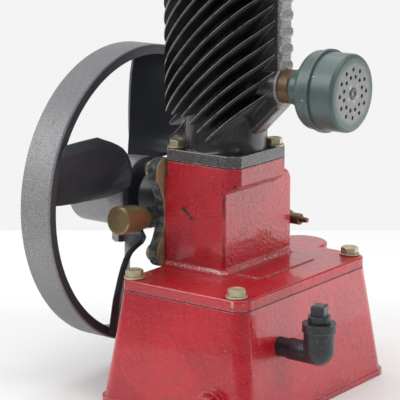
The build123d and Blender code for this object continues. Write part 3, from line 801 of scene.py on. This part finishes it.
def barrel_root():
    """Cast fillet that spreads the barrel onto its flange, open at the two flange bolts."""
    mesh = bmesh.new()
    for start in (BOLT_ANGLE, BOLT_ANGLE + math.pi):
        first = start + BOLT_GAP
        sweep = math.pi - 2 * BOLT_GAP
        rings = []
        for index in range(ROOT_STEPS + 1):
            turned = sweep * index / ROOT_STEPS
            share = min(1.0, min(turned, sweep - turned) / BOLT_EASE)
            rings.append(root_section(first + turned, share * share * (3 - 2 * share)))
        add_rings(mesh, rings)
    place_piece("barrel_root", mesh, BLACK, "pump", (0, 0, 0), (0, 0, 1), UPRIGHT_TURN)


barrel_root()

# Floor, surround and lamps
FLOOR_DARKER = (0.875, 0.875, 0.875, 1)
FLOOR_LIGHTER = (0.895, 0.895, 0.895, 1)
BACKDROP = (0.90, 0.90, 0.90, 1)
SOFT_STRENGTH = 0.45
BRIGHT_SIDE = (-1.0, 0.55, -0.2)
BRIGHT_FROM = -0.1
BRIGHT_TO = 0.9
ROOM_DIM = 0.10
ROOM_BRIGHT = 0.95
MIDDLE = (0, 0, 0.15)
TABLE_END_AIM = (0, 0, -0.05)
LAMPS = [
    ("overhead", (-0.25, 0.1, 1.3), MIDDLE, 1.3, 1.3, 9.0),
    ("left_front", (-1.0, -1.1, 1.2), MIDDLE, 0.9, 0.9, 13.0),
    ("right_high", (1.0, 0.2, 1.2), MIDDLE, 0.9, 0.9, 7.0),
    ("table_end", (0.50, 0.69, -0.05), TABLE_END_AIM, 1.2, 0.4, 2.7),
]


def floor():
    """White table top under the object, square to the camera."""
    mesh = bmesh.new()
    mesh.faces.new([mesh.verts.new((x, y, 0)) for x, y in TABLE_CORNERS])
    mesh.transform(Matrix.Rotation(AZIMUTH, 4, "Z"))
    data = bpy.data.meshes.new("floor")
    mesh.to_mesh(data)
    mesh.free()
    top = bpy.data.objects.new("floor", data)
    bpy.context.scene.collection.objects.link(top)
    finish = Finish("floor_white", roughness=0.7)
    finish.colour(finish.mix(finish.noise(3.0, 2.0), FLOOR_DARKER, FLOOR_LIGHTER))
    data.materials.append(finish.material)


def world():
    """White surround for the camera, a room bright on one side for what shines, soft light for the rest."""
    bpy.context.scene.world = bpy.data.worlds.new("surround")
    surround = bpy.context.scene.world
    surround.use_nodes = True
    tree = surround.node_tree
    tree.nodes.clear()
    path = tree.nodes.new("ShaderNodeLightPath")
    seen = tree.nodes.new("ShaderNodeMath")
    seen.operation = "MAXIMUM"
    tree.links.new(path.outputs["Is Camera Ray"], seen.inputs[0])
    tree.links.new(path.outputs["Is Transmission Ray"], seen.inputs[1])
    # Shiny surfaces see white behind the flywheel and a dim room elsewhere
    place = tree.nodes.new("ShaderNodeTexCoord")
    behind = tree.nodes.new("ShaderNodeVectorMath")
    behind.operation = "DOT_PRODUCT"
    behind.inputs[1].default_value = BRIGHT_SIDE
    tree.links.new(place.outputs["Generated"], behind.inputs[0])
    ramp = tree.nodes.new("ShaderNodeMapRange")
    ramp.interpolation_type = "SMOOTHSTEP"
    ramp.inputs["From Min"].default_value = BRIGHT_FROM
    ramp.inputs["From Max"].default_value = BRIGHT_TO
    ramp.inputs["To Min"].default_value = ROOM_DIM
    ramp.inputs["To Max"].default_value = ROOM_BRIGHT
    tree.links.new(behind.outputs["Value"], ramp.inputs["Value"])
    white = tree.nodes.new("ShaderNodeBackground")
    white.inputs["Color"].default_value = BACKDROP
    shine = tree.nodes.new("ShaderNodeBackground")
    tree.links.new(ramp.outputs["Result"], shine.inputs["Strength"])
    soft = tree.nodes.new("ShaderNodeBackground")
    soft.inputs["Color"].default_value = (1.0, 1.0, 1.0, 1)
    soft.inputs["Strength"].default_value = SOFT_STRENGTH
    glossy = tree.nodes.new("ShaderNodeMixShader")
    tree.links.new(path.outputs["Is Glossy Ray"], glossy.inputs[0])
    tree.links.new(soft.outputs[0], glossy.inputs[1])
    tree.links.new(shine.outputs[0], glossy.inputs[2])
    final = tree.nodes.new("ShaderNodeMixShader")
    tree.links.new(seen.outputs[0], final.inputs[0])
    tree.links.new(glossy.outputs[0], final.inputs[1])
    tree.links.new(white.outputs[0], final.inputs[2])
    out = tree.nodes.new("ShaderNodeOutputWorld")
    tree.links.new(final.outputs[0], out.inputs["Surface"])


def soft_box(name, place, aim, width, height, power):
    """Large even lamp that the camera doesn't see."""
    light = bpy.data.lights.new(name, "AREA")
    light.shape = "RECTANGLE"
    light.size = width
    light.size_y = height
    light.energy = power
    lamp = bpy.data.objects.new(name, light)
    lamp.location = place
    lamp.rotation_euler = (Vector(aim) - Vector(place)).to_track_quat("-Z", "Y").to_euler()
    lamp.visible_camera = False
    bpy.context.scene.collection.objects.link(lamp)


def camera():
    """Camera at the photograph's place, shifted to its frame."""
    lens = bpy.data.cameras.new("camera")
    lens.sensor_width = SENSOR_WIDTH
    lens.lens = FOCAL_PIXELS * SENSOR_WIDTH / PHOTO_SIDE
    lens.shift_x = (PHOTO_SIDE / 2 - AXIS_PIXEL[0]) / PHOTO_SIDE
    lens.shift_y = (AXIS_PIXEL[1] - PHOTO_SIDE / 2) / PHOTO_SIDE
    back = Vector(
        (
            math.sin(AZIMUTH) * math.cos(ELEVATION),
            -math.cos(AZIMUTH) * math.cos(ELEVATION),
            math.sin(ELEVATION),
        )
    )
    holder = bpy.data.objects.new("camera", lens)
    holder.location = CAMERA_TARGET + back * CAMERA_DISTANCE
    holder.rotation_euler = (-back).to_track_quat("-Z", "Y").to_euler()
    bpy.context.scene.collection.objects.link(holder)
    bpy.context.scene.camera = holder


floor()
world()
for lamp in LAMPS:
    soft_box(*lamp)
camera()
bpy.context.scene.view_settings.view_transform = "Standard"
